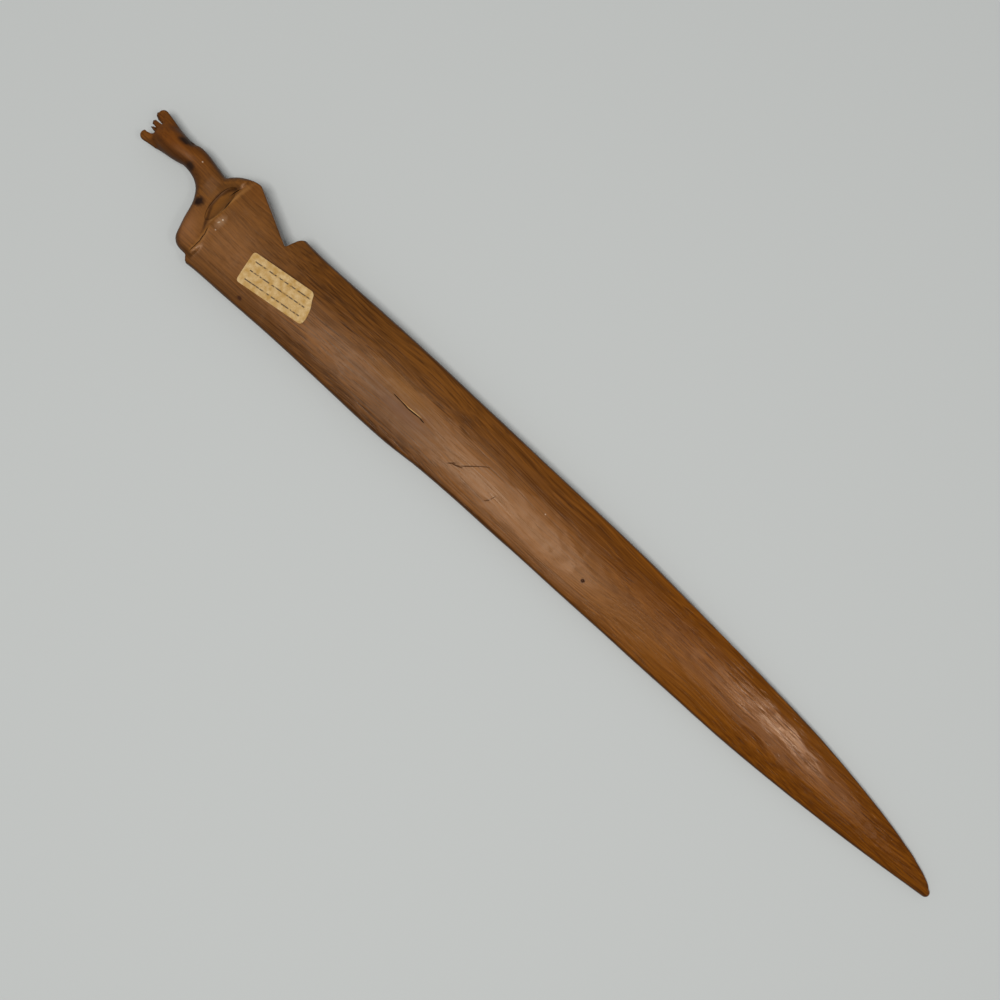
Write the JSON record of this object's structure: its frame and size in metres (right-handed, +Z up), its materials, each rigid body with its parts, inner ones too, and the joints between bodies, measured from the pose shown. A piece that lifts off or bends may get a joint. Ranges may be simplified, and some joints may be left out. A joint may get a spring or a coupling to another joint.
{
  "type": "letter opener",
  "caption": "Hand-carved wooden letter opener with a flat crowned blade, a blunt point and a giraffe-shaped handle, with a gummed paper label on its plain back.",
  "frame": {"origin": "on the surface that the opener lies on, below the middle of its box", "axes": "+X from the giraffe's ears to the tip of the blade, +Y across the blade from the rump to the chest, +Z up out of the plain back"},
  "size_m": [0.2893, 0.0281, 0.0106],
  "materials": {
    "carved_wood": "hand-carved, sanded and waxed reddish-brown wood, with its grain along the blade",
    "label_paper": "aged, matt gummed paper"
  },
  "bodies": {
    "root": {"wooden_carving": "carved_wood", "paper_label": "label_paper"}
  },
  "joints": []
}
